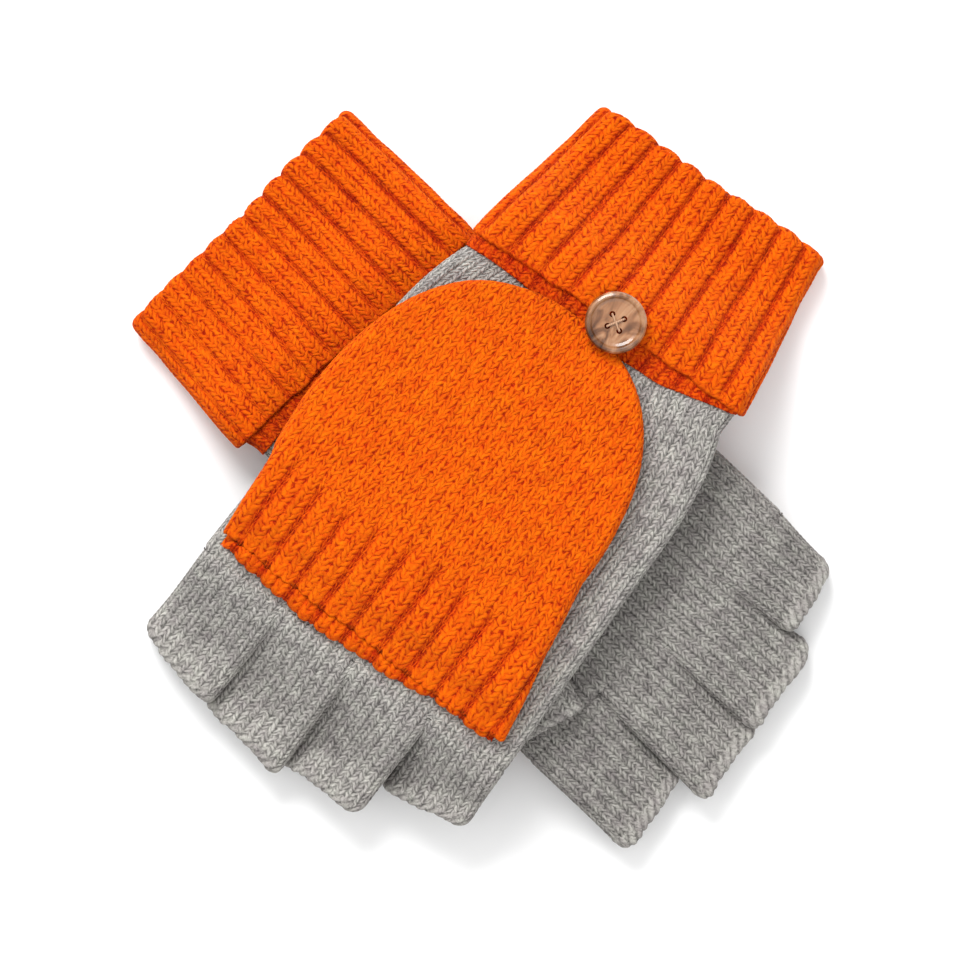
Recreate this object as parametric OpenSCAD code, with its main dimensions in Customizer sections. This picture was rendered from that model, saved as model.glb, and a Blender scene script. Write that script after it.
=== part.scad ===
// Pair of convertible flip-top mittens, laid crossed on a flat surface.
// The right-hand glove lies on top, back up, with its mitten flap folded back on the hand.
// The left-hand glove lies beneath, palm up, with its flap folded back between hand and floor.
// Row frame in mm: +Z up, floor at z = 0, origin where the two centre lines cross.

/* [Overall] */
// Width of one glove across the knuckles
hand_w = 106; // [85:1:130]
// Length of the mitten flap from its ribbed edge to its round tip
flap_len = 107.5; // [85:0.5:130]
// Length of the ring finger stub past the crotch line
finger_len = 36; // [28:0.5:46]
// Depth of the turned-up cuff
cuff_len = 49.5; // [38:0.5:62]
// Length of the thumb stub
thumb_len = 38; // [30:0.5:44]
// Angle from the top glove to the glove beneath
cross_angle = 81.7; // [68:0.1:98]

/* [Knit] */
// Thickness of one layer of the hand knit
wall = 1.5; // [1.2:0.05:1.9]
// Height of the hollow inside a glove lying flat
slot = 4.5; // [4.2:0.1:5.6]
// Depth of the ribbed band at the mouth of the flap
rib_depth = 26.5; // [20:0.5:32]
// Clear space between two pieces that move past each other
gap = 0.3; // [0.25:0.05:0.4]

/* [Button] */
// Diameter of the button
button_d = 17.4; // [14:0.1:21]
// Thickness of the button at its rim
button_t = 3; // [2.4:0.1:3.6]
// Diameter of each of the four holes
hole_d = 1.7; // [1.4:0.1:2]
// Spacing of the holes, centre to centre
hole_pitch = 3.6; // [3:0.1:4.3]
// Turn of the hole pattern about the button's axis
hole_turn = 14; // [0:1:90]
// Thickness of the sewing thread
thread_d = 0.6; // [0.4:0.1:0.8]
// Thickness of the elastic loop cord
cord_d = 1.6; // [1.2:0.1:1.9]

/* [Hidden] */
// node to draw; "all" draws the whole pair

orange = [0.93, 0.42, 0.06];
grey = [0.62, 0.61, 0.59];
horn = [0.36, 0.25, 0.18];
linen = [0.83, 0.78, 0.68];

// layer thicknesses and heights of the centre of each flat layer, floor upward
hand_t = slot + 2 * wall;
flap_wall = wall - 0.15;
flap_t = slot + 2 * flap_wall;
mouth_t = hand_t + 1;
thumb_wall = wall - 0.4;
thumb_t = slot + 2 * thumb_wall;
cuff_wall = wall - 0.2;
cuff_in_t = slot + 2 * cuff_wall;
cuff_t = cuff_in_t + 2 * (gap + wall + 0.1);
z_left = flap_t + gap + hand_t / 2;
z_thumb = z_left + hand_t / 2 + gap + thumb_t / 2;
z_right = z_thumb + thumb_t / 2 + gap + hand_t / 2;

// stations along a glove, in its own frame: fingers to -y, thumb side to +x
y_hinge = -0.5442 * flap_len;
y_knuckle = y_hinge - 7.5;
y_tip = y_hinge + flap_len;
y_button = y_tip + 5;
y_flap_end = y_button - button_d / 2 - 0.8;
y_border = y_tip - 2;
y_edge = y_tip + 2.5;
y_fold = y_edge + cuff_len;
button_stand = cord_d + 0.7;

// R = right glove (on top, back up), L = left glove (beneath, palm up)
R = 0;
L = 1;
function back(g) = g == R ? 1 : -1;
function z_hand(g) = g == R ? z_right : z_left;
function half_w(g) = hand_w / 2 * (g == R ? 1 : 0.953);
function z_back(g, off) = z_hand(g) + back(g) * off;
function flap_z(g) = z_back(g, hand_t / 2 + gap + flap_t / 2);
function floor_lift(g) = g == R ? 0.4 : 0;

function mix(a, b, f) = a + (b - a) * f;
function clip(f) = min(1, max(0, f));
function ease(f) = let(c = clip(f)) c * c * (3 - 2 * c);

// one cross-section of a flattened tube: flat top and bottom, round edges
STEPS = 9;
function ring(x, y, z, a, b) = [
  for (side = [1, -1]) for (i = [0 : STEPS - 1])
    let(t = -90 + 180 * i / (STEPS - 1))
      [x + side * (a - b + b * cos(t)), y, z + side * b * sin(t)]
];

// closed skin through a run of rings; a looped run makes a tube, an open run is capped
module skin(rings, looped = true) {
  n = len(rings[0]);
  m = len(rings);
  bands = looped ? m : m - 1;
  back_to_front = rings[1][0][1] < rings[0][0][1];
  sides = [
    for (k = [0 : bands - 1]) for (i = [0 : n - 1])
      let(a = k * n, b = ((k + 1) % m) * n, j = (i + 1) % n)
        each [[a + i, a + j, b + j], [a + i, b + j, b + i]]
  ];
  caps = looped ? [] : [[for (i = [n - 1 : -1 : 0]) i], [for (i = [0 : n - 1]) (m - 1) * n + i]];
  faces = concat(sides, caps);
  polyhedron(points = [for (r = rings) each r], convexity = 8,
    faces = back_to_front ? [for (f = faces) [for (i = [len(f) - 1 : -1 : 0]) f[i]]] : faces);
}

// tube through stations [x, y, z, half width, half thickness], open at both ends
module tube(st, w) {
  last = len(st) - 1;
  skin(concat(
    [for (i = [0 : last]) let(s = st[i]) ring(s[0], s[1], s[2], s[3], s[4])],
    [for (i = [last : -1 : 0]) let(s = st[i]) ring(s[0], s[1], s[2], s[3] - w, s[4] - w)]
  ));
}

// ---------- hand and fingers ----------

// half width of the hand along its length: widest at the knuckles, drawn in at the cuff
function hand_half(g, y) = half_w(g) * (y < 0
  ? mix(0.965, 1, clip(y / y_knuckle))
  : mix(0.965, 0.84, pow(clip(y / y_border), 3)));

function hand_station(g, y) = [0, y, z_hand(g), hand_half(g, y), hand_t / 2];

// thumb root, heading and width, in the glove's own frame
function thumb_root(g) = half_w(g) * (g == R ? [0.36, -0.63] : [0.4, -0.1]);
function thumb_turn(g) = g == R ? -24 : -59;
thumb_w = 26;
neck_w = 19;
neck_d = 8;

module at_thumb(g) {
  r = thumb_root(g);
  translate([r[0], r[1], 0]) rotate([0, 0, thumb_turn(g)]) children();
}

module neck_outline(grow) {
  r = neck_d / 2 + grow;
  for (s = [-1, 1]) translate([0, s * (neck_w - neck_d) / 2]) circle(r, $fn = 32);
  square([2 * r, neck_w - neck_d], center = true);
}

// upright stretch of the thumb hole, from inside the palm to inside the thumb
module neck(g, grow, z0, z1) {
  at_thumb(g) translate([neck_d / 2 + 2, 0, min(z0, z1)])
    linear_extrude(abs(z1 - z0)) neck_outline(grow);
}

function palm_out(g) = z_back(g, -hand_t / 2);
function palm_in(g) = z_back(g, -hand_t / 2 + wall);

module hand(g) {
  color(grey) difference() {
    tube([for (f = [0, 0.12, 0.26, 0.42, 0.6, 0.8, 1])
      hand_station(g, mix(y_border, y_knuckle, f))], wall);
    neck(g, 0, z_back(g, -hand_t / 2 - 1), z_back(g, -hand_t / 2 + wall + 1));
  }
}

// each stub: left and right edge at the root, the same at the tip (parts of the half
// width), length as a part of finger_len, and how far it droops towards the floor
STUBS = [
  [[0.527, 1, 0.547, 1.019, 0.62, 0.62], [0.036, 0.519, 0.045, 0.53, 0.92, 0.88],
   [-0.445, 0.028, -0.49, 0.038, 1, 1], [-0.99, -0.453, -1, -0.51, 0.9, 0.9]],
  [[0.465, 0.99, 0.55, 0.927, 0.67, 1], [-0.006, 0.457, 0.081, 0.543, 0.95, 1],
   [-0.446, -0.014, -0.436, 0.01, 1.07, 1], [-0.99, -0.454, -0.958, -0.539, 0.93, 1]]
];

function stub_station(g, i, f) = let(
  s = STUBS[g][i], a = half_w(g) * mix(s[0], s[2], f), b = half_w(g) * mix(s[1], s[3], f),
  drop = s[5] * (z_hand(g) - mouth_t / 2 - floor_lift(g))
) [(a + b) / 2, y_knuckle - f * s[4] * finger_len,
   z_hand(g) - drop * ease(f / 0.8), (b - a) / 2, mix(hand_t, mouth_t, f) / 2];

module stub(g, i) {
  color(grey) tube([for (f = [0, 0.13, 0.26, 0.4, 0.54, 0.67, 0.8, 1])
    stub_station(g, i, f)], wall);
}

// thumb stub folded flat against the palm, its root passing up into the hand
module thumb(g) {
  color(grey) difference() {
    union() {
      at_thumb(g) rotate([0, 0, -90]) skin([
        for (f = [0, 0.06, 0.2, 0.6, 1])
          ring(0, f * thumb_len, z_thumb, thumb_w / 2 - (f < 0.03 ? 3 : 0), thumb_t / 2 - (f < 0.03 ? 1 : 0))
      ], looped = false);
      neck(g, 0, z_thumb, palm_in(g));
    }
    at_thumb(g) rotate([0, 0, -90]) skin([
      for (f = [0.06, 0.12, 0.6, 1.02])
        ring(0, f * thumb_len, z_thumb, thumb_w / 2 - thumb_wall, slot / 2)
    ], looped = false);
    neck(g, -thumb_wall, z_thumb, z_back(g, 0));
  }
}

// ---------- cuff ----------

// the cuff runs flat past the edge of the other glove, then droops to the floor
function cuff_z(g, y) = let(flat = max(0.565 * hand_w, y_edge + 3), land = y_fold - 10)
  mix(z_hand(g), cuff_t / 2 + floor_lift(g), ease((y - flat) / (land - flat)));

function cuff_half(g, y) = half_w(g)
  * mix(0.84, g == R ? 0.73 : 0.8, clip((y - y_edge) / (y_fold - y_edge)));

turn_wall = cuff_t / 2 - gap - cuff_in_t / 2;
fold_t = 1.6;
cuff_run = [for (i = [0 : 9]) mix(y_edge, y_fold - fold_t, i / 9)];

module cuff_inner(g) {
  color(orange) tube([for (y = concat([y_border], cuff_run))
    [0, y, cuff_z(g, y), cuff_half(g, y) - turn_wall - gap, cuff_in_t / 2]], cuff_wall);
}

// outer layer of the cuff, turned up over the inner one and closed on to it at the fold
module cuff_turnup(g) {
  n = len(cuff_run) - 1;
  w = turn_wall;
  iw = turn_wall + gap + cuff_wall;
  function at(y, in) = ring(0, y, cuff_z(g, y), cuff_half(g, y) - in, cuff_t / 2 - in);
  color(orange) skin(concat(
    [for (y = cuff_run) at(y, 0)],
    [at(y_fold - 0.5, 0.3), at(y_fold, 1.1), at(y_fold, iw), at(y_fold - fold_t, iw)],
    [for (i = [n : -1 : 0]) at(cuff_run[i], w)]
  ));
}

// ---------- mitten flap ----------

// left and right edge of the flap along its length: v = 0 at the ribbed edge, 1 at the tip
function round_end(v, from) = pow(1 - pow(clip((v - from) / (1 - from)), 2.4), 1 / 2.4);
function flap_left(g, v) = half_w(g)
  * (-0.13 - round_end(v, 0.4) * mix(0.83, 0.92, clip(v / 0.4)));
function flap_right(g, v) = half_w(g)
  * (-0.13 + round_end(v, 0.45) * mix(1.01, 0.84, pow(clip(v / 0.45), 0.7)));

function flap_ring(g, y, in) = let(
  v = (y - y_hinge) / flap_len, a = flap_left(g, v), b = flap_right(g, v)
) ring((a + b) / 2, y, flap_z(g), (b - a) / 2 - in, flap_t / 2 - in);

y_rib = y_hinge + rib_depth;

module flap_rib(g) {
  ys = [for (f = [0, 0.3, 0.65, 1]) mix(y_hinge, y_rib, f)];
  color(orange) skin(concat(
    [for (y = ys) flap_ring(g, y, 0)],
    [for (i = [3 : -1 : 0]) flap_ring(g, ys[i], flap_wall)]
  ));
}

// pocket of the flap, closed at the tip
module flap_cap(g) {
  span = y_flap_end - y_rib;
  w = flap_wall;
  fs = [1, 0.97, 0.93, 0.87, 0.8, 0.7, 0.58, 0.4, 0.2, 0];
  color(orange) skin(concat(
    [flap_ring(g, y_flap_end, 0.9)],
    [for (i = [1 : 9]) flap_ring(g, y_rib + fs[i] * span, 0)],
    [for (i = [9 : -1 : 1]) flap_ring(g, y_rib + min(fs[i], 1 - 2.2 / span) * span, w)]
  ), looped = false);
}

// linked seam that sews the back of the flap to the hand, just beyond the ribbed edge
module flap_seam(g) {
  d = 1.3;
  n = 17;
  w = 1.5 * half_w(g);
  color(orange) translate([-0.03 * half_w(g), y_hinge - 3.9, z_back(g, hand_t / 2 + d / 2)])
    for (i = [0 : n - 1]) translate([(i / (n - 1) - 0.5) * w, 0, 0]) {
      sphere(d = d, $fn = 16);
      if (i < n - 1) rotate([0, 90, 0]) cylinder(h = w / (n - 1), d = d * 0.8, $fn = 16);
    }
}

// ---------- button and loop ----------

button_x = 2;

module at_holes() {
  for (i = [0 : 3]) rotate([0, 0, hole_turn + 45 + 90 * i])
    translate([hole_pitch / sqrt(2), 0]) children();
}

// place of the button, its +z always facing away from the glove
module at_button(g) {
  translate([button_x, y_button, z_back(g, cuff_t / 2 + button_stand)])
    rotate([g == R ? 0 : 180, 0, 0]) children();
}

// turned disc with a raised round rim, a dished middle and four holes
module button(g) {
  r = button_d / 2;
  dish = 0.77 * r;
  color(horn) at_button(g) difference() {
    rotate_extrude($fn = 72) union() {
      polygon([[0, 0], [r - 1.4, 0], [r - 0.4, 0.5], [r, 1.3], [r - 0.05, button_t - 1],
        [r - 0.5, button_t - 0.3], [r - 1.1, button_t], [dish + 0.5, button_t - 0.25],
        [dish, button_t - 0.8], [dish - 0.8, button_t - 1.1], [0, button_t - 1.3]]);
    }
    translate([0, 0, -1]) linear_extrude(button_t + 2) at_holes() circle(d = hole_d, $fn = 24);
  }
}

// sewing thread: a wound shank under the disc, a leg up each hole and a cross on top
module button_thread(g) {
  top = button_t - 1.15 + thread_d / 2;
  color(linen) at_button(g) {
    translate([0, 0, 0.1 - button_stand])
      cylinder(h = button_stand - 0.3, d = hole_pitch - 0.8, $fn = 32);
    at_holes() translate([0, 0, -0.25]) cylinder(h = top + 0.25, d = thread_d, $fn = 24);
    for (t = [45, 135]) rotate([0, 0, hole_turn + t]) {
      translate([0, 0, -0.15]) cube([hole_pitch * sqrt(2), thread_d * 0.8, 0.2], center = true);
      translate([-hole_pitch / sqrt(2), 0, top]) rotate([0, 90, 0])
        cylinder(h = hole_pitch * sqrt(2), d = thread_d, $fn = 24);
    }
  }
}

// elastic loop sewn to the tip of the flap, passed round the shank of the button
module loop(g) {
  r = hole_pitch / 2 + cord_d / 2 + 0.4;
  color(orange) translate([button_x, y_button, z_back(g, cuff_t / 2 + button_stand / 2)]) {
    rotate_extrude(angle = 180, $fn = 48) translate([r, 0]) circle(d = cord_d, $fn = 24);
    for (s = [-1, 1]) translate([s * r, 0, 0]) rotate([90, 0, 0])
      cylinder(h = y_button - y_flap_end, d = cord_d, $fn = 24);
  }
}

// ---------- the pair ----------

module lay(g) {
  rotate([0, 0, g == R ? 0 : cross_angle]) children();
}

lay(R) hand(R);  // right_hand
lay(R) stub(R, 0);  // right_index
lay(R) stub(R, 1);  // right_middle
lay(R) stub(R, 2);  // right_ring
lay(R) stub(R, 3);  // right_little
lay(R) thumb(R);  // right_thumb
lay(R) cuff_inner(R);  // right_cuff_inner
lay(R) cuff_turnup(R);  // right_cuff_turnup
lay(R) flap_cap(R);  // right_flap_cap
lay(R) flap_rib(R);  // right_flap_rib
lay(R) flap_seam(R);  // right_flap_seam
lay(R) button(R);  // right_button
lay(R) button_thread(R);  // right_button_thread
lay(R) loop(R);  // right_loop
lay(L) hand(L);  // left_hand
lay(L) stub(L, 0);  // left_index
lay(L) stub(L, 1);  // left_middle
lay(L) stub(L, 2);  // left_ring
lay(L) stub(L, 3);  // left_little
lay(L) thumb(L);  // left_thumb
lay(L) cuff_inner(L);  // left_cuff_inner
lay(L) cuff_turnup(L);  // left_cuff_turnup
lay(L) flap_cap(L);  // left_flap_cap
lay(L) flap_rib(L);  // left_flap_rib
lay(L) flap_seam(L);  // left_flap_seam
lay(L) button(L);  // left_button
lay(L) button_thread(L);  // left_button_thread
lay(L) loop(L);  // left_loop
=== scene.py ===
"""A crossed pair of knitted flip-top mittens, dressed over the CAD frame.

Lengths below are in millimetres in a glove's own frame (fingers to -y, thumb side to +x)
until a mesh is made; the lower, left-hand glove is then turned by CROSS.
"""
import math

import bpy
import numpy as np
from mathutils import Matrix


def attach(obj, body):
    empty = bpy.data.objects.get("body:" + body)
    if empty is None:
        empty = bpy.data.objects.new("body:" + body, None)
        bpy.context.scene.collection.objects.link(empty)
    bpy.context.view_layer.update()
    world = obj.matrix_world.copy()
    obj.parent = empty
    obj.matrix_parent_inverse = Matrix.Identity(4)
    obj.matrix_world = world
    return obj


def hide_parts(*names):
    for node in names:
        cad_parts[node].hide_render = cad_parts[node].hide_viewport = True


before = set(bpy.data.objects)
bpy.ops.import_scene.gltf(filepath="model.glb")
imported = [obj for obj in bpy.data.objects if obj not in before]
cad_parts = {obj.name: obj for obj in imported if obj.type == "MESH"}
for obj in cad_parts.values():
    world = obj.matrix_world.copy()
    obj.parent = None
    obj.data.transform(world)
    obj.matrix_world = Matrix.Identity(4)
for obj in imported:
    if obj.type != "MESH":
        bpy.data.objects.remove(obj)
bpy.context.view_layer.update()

MM = 0.001

# ---------------------------------------------------------------- glove sizes, as in the CAD
CROSS = math.radians(81.7)
# thickness of each flattened tube
HAND_T, FLAP_T, THUMB_T, CUFF_IN_T, CUFF_T = 7.5, 7.2, 6.7, 7.1, 10.9
MOUTH_T = HAND_T + 1
# height of its middle, half the width of the hand, how far its ends lie off the surface, and
# whether the back of the hand faces up or down
Z_HAND = {"right": 26.05, "left": 11.25}
Z_FLAP = {"right": 33.7, "left": 3.6}
Z_THUMB = 18.65
HALF = {"right": 53.0, "left": 50.51}
LIFT = {"right": 0.4, "left": 0.0}
BACK = {"right": 1, "left": -1}
# places along the hand: the flap's fold, the finger crotches, the flap's tip, the button,
# then the cuff's free edge and its fold
Y_HINGE, Y_KNUCKLE, Y_TIP, Y_BUTTON = -58.5, -66.0, 49.0, 54.0
BUTTON_X = 2.0
Y_EDGE, Y_FOLD = 51.5, 101.0
FLAP_LEN = 107.5

# gauge of the knit: width of one column of stitches and height of one row
WALE_GREY, ROW_GREY = 3.2, 1.58
ROW_FLAP = 2.15
ROW_CUFF = 1.7
LEAN = 1.15  # rows that a leg of a stitch climbs from the middle of its column to the edge

FLOOR_GAP = 0.02  # lowest that any piece may reach


def mix(a, b, f):
    return a + (b - a) * f


def clip(f):
    return np.clip(f, 0.0, 1.0)


def ease(f):
    c = clip(f)
    return c * c * (3 - 2 * c)


def hand_half(g, y):
    """Half width of the hand at y."""
    out = mix(0.965, 1, clip(y / Y_KNUCKLE))
    drawn = mix(0.965, 0.84, clip(y / 47.0) ** 3)
    return HALF[g] * np.where(y < 0, out, drawn)


def cuff_z(g, y):
    """Height of the middle of a cuff, which comes down from the hand to the surface."""
    flat, land = 59.9, Y_FOLD - 10
    return mix(Z_HAND[g], CUFF_T / 2 + LIFT[g], ease((y - flat) / (land - flat)))


# half width and centre of the turned-up cuff at its free edge and at its fold
CUFF_SPAN = {"right": ((0.878, 0.015), (0.728, 0.013)), "left": ((0.905, -0.026), (0.855, 0.0))}
FOLD = {"right": Y_FOLD + 2.8, "left": Y_FOLD + 1.9}


def cuff_half(g, y):
    f = clip((y - Y_EDGE) / (Y_FOLD - Y_EDGE))
    return HALF[g] * mix(CUFF_SPAN[g][0][0], CUFF_SPAN[g][1][0], f)


def cuff_mid(g, y):
    f = clip((y - Y_EDGE) / (Y_FOLD - Y_EDGE))
    return HALF[g] * mix(CUFF_SPAN[g][0][1], CUFF_SPAN[g][1][1], f)


# ---------------------------------------------------------------- relief of the knit
def chance(i, j, seed):
    """Even random number from 0 to 1 for a grid point, the same every run."""
    x = np.sin(i * 127.1 + j * 311.7 + seed * 74.7) * 43758.5453
    return x - np.floor(x)


def drift(x, y, scale, seed):
    """Smooth noise from -1 to 1 that varies over about scale."""
    x, y = x / scale, y / scale
    i, j = np.floor(x), np.floor(y)
    fx, fy = ease(x - i), ease(y - j)
    top = mix(chance(i, j, seed), chance(i + 1, j, seed), fx)
    low = mix(chance(i, j + 1, seed), chance(i + 1, j + 1, seed), fx)
    return 2 * mix(top, low, fy) - 1


def stitches(u, v):
    """Height 0 to 1 of plain knit; u counts columns, v rows in the knitting direction.
    Only what a mesh this fine can carry: the yarn itself is drawn by the wool material."""
    a = np.abs(u - np.floor(u) - 0.5) * 2
    climb = v - LEAN * a
    q = climb - np.floor(climb)
    strand = 4 * q * (1 - q)
    dome = 1 - 0.6 * a**4 - 0.35 * (1 - a) ** 4
    return clip(dome * (0.75 + 0.25 * strand))


def rib_columns(rho, spread):
    """Column count for a two-by-one rib; the purl column is centred on a whole rho.
    spread is half the share of a rib that the purl column takes: 1/6 where it is plain."""
    whole = np.floor(rho)
    f = rho - whole
    u = np.where(f < spread, f / (2 * spread),
        np.where(f < 0.5, 0.5 + (f - spread) / (0.5 - spread),
        np.where(f < 1 - spread, 1.5 + (f - 0.5) / (0.5 - spread),
                 2.5 + (f - 1 + spread) / (2 * spread))))
    return 3 * whole + u + 0.5


def scallop(u):
    """How far the loop of each column of stitches stands out of a knitted edge, 0 to 1."""
    f = u - np.floor(u)
    return (4 * f * (1 - f)) ** 0.6


def rib_dome(rho):
    """Cross-section of a rib, 0 in the groove and 1 on the crest."""
    return np.abs(np.sin(math.pi * rho)) ** 0.5


# ---------------------------------------------------------------- meshes
def section(xc, zc, a, b, arc):
    """Point on a flattened tube's cross-section, arc mm from the middle of its upper side."""
    b = np.minimum(b, a * 0.98)
    flat = a - b
    s = np.sign(arc)
    d = np.abs(arc)
    turn = clip((d - flat) / (math.pi * b + 1e-9)) * math.pi
    under = np.maximum(d - flat - math.pi * b, 0)
    x = np.where(d <= flat, d, np.where(under > 0, flat - under, flat + b * np.sin(turn)))
    z = np.where(d <= flat, b, np.where(under > 0, -b, b * np.cos(turn)))
    return xc + s * x, zc + z


def perimeter(a, b):
    b = np.minimum(b, a * 0.98)
    return 4 * (a - b) + 2 * math.pi * b


def columns(a, b, fine, coarse):
    """Arc fractions -1..1 round a tube: fine spacing on the upper side, coarse beneath."""
    length = perimeter(a, b)
    top = (2 * (a - b) + math.pi * b * 1.2) / length
    n_top, n_low = int(top * length / fine), max(int((1 - top) * length / coarse), 6)
    upper = np.linspace(-top, top, n_top, endpoint=False)
    lower = np.linspace(top, 2 - top, n_low, endpoint=False)
    return np.concatenate([upper, np.where(lower > 1, lower - 2, lower)])


def normals(p, out):
    """Unit normals of a grid that wraps round a tube, turned to face the rough direction out."""
    du = np.roll(p, -1, 1) - np.roll(p, 1, 1)
    dv = np.gradient(p, axis=0)
    n = np.cross(du, dv)
    n /= np.linalg.norm(n, axis=2, keepdims=True) + 1e-12
    return n * np.sign(np.sum(n * out, axis=2, keepdims=True) + 1e-12)


def outward(x, xc, a, b, along, dz):
    """Rough outward direction on a flattened tube; along is its part along y."""
    round_side = np.maximum(np.abs(x - xc) - (a - b), 0)
    return np.stack([np.sign(x - xc) * round_side, along + 0 * x, dz], -1)


def placed(g, p):
    """Points of a glove's own frame in the row frame."""
    if g == "right":
        return p
    c, s = math.cos(CROSS), math.sin(CROSS)
    q = p.copy()
    q[..., 0] = p[..., 0] * c - p[..., 1] * s
    q[..., 1] = p[..., 0] * s + p[..., 1] * c
    return q


def sheet_mesh(name, p, uv, values, wrap_v=True, wrap_u=True):
    """Mesh object from a grid of points in mm, with stitch coordinates and named values."""
    nv, nu = p.shape[:2]
    rows = np.arange(nv if wrap_v else nv - 1)
    cols = np.arange(nu if wrap_u else nu - 1)
    r, c = np.meshgrid(rows, cols, indexing="ij")
    r2, c2 = (r + 1) % nv, (c + 1) % nu
    quads = np.stack([r * nu + c, r * nu + c2, r2 * nu + c2, r2 * nu + c], -1).reshape(-1, 4)
    flat = p.reshape(-1, 3)
    tri = flat[quads]
    vol = np.einsum("ij,ij->i", tri[:, 0], np.cross(tri[:, 1], tri[:, 2])).sum()
    vol += np.einsum("ij,ij->i", tri[:, 0], np.cross(tri[:, 2], tri[:, 3])).sum()
    if vol < 0:
        quads = quads[:, ::-1]
    mesh = bpy.data.meshes.new(name)
    mesh.vertices.add(len(flat))
    mesh.vertices.foreach_set("co", (flat * MM).astype(np.float32).ravel())
    mesh.loops.add(quads.size)
    mesh.loops.foreach_set("vertex_index", quads.astype(np.int32).ravel())
    mesh.polygons.add(len(quads))
    mesh.polygons.foreach_set("loop_start", np.arange(0, quads.size, 4, dtype=np.int32))
    mesh.polygons.foreach_set("use_smooth", np.ones(len(quads), bool))
    mesh.update(calc_edges=True)
    layer = mesh.uv_layers.new(name="stitch")
    layer.data.foreach_set("uv", uv.reshape(-1, 2)[quads.ravel()].astype(np.float32).ravel())
    for key, value in values.items():
        field = mesh.attributes.new(key, "FLOAT", "POINT")
        field.data.foreach_set("value", np.broadcast_to(value, (nv, nu)).astype(np.float32).ravel())
    mesh.validate()
    obj = bpy.data.objects.new(name, mesh)
    bpy.context.collection.objects.link(obj)
    return obj


# ---------------------------------------------------------------- materials
def tree(name):
    """New material, with its nodes, links and shader."""
    mat = bpy.data.materials.new(name)
    mat.use_nodes = True
    nodes, links = mat.node_tree.nodes, mat.node_tree.links
    bsdf = nodes["Principled BSDF"]
    return mat, nodes, links, bsdf


def ramp(nodes, stops):
    """Colour ramp from (position, colour) pairs."""
    r = nodes.new("ShaderNodeValToRGB")
    e = r.color_ramp.elements
    e[0].position, e[0].color = stops[0][0], (*stops[0][1], 1)
    e[1].position, e[1].color = stops[-1][0], (*stops[-1][1], 1)
    for pos, col in stops[1:-1]:
        k = e.new(pos)
        k.color = (*col, 1)
    return r


def calculator(nodes, links):
    """calc(operation, values or sockets...) adds a Math node and returns its output."""
    def calc(operation, *args, limit=False):
        node = nodes.new("ShaderNodeMath")
        node.operation = operation
        node.use_clamp = limit
        for socket, arg in zip(node.inputs, args):
            if isinstance(arg, (int, float)):
                socket.default_value = arg
            else:
                links.new(arg, socket)
        return node.outputs[0]
    return calc


def value_of(nodes, name):
    node = nodes.new("ShaderNodeAttribute")
    node.attribute_name = name
    return node.outputs["Fac"]


def noise_of(nodes, links, vector, scale, detail, rough=0.5):
    node = nodes.new("ShaderNodeTexNoise")
    node.inputs["Scale"].default_value = scale
    node.inputs["Detail"].default_value = detail
    node.inputs["Roughness"].default_value = rough
    links.new(vector, node.inputs["Vector"])
    return node.outputs["Fac"]


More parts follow.
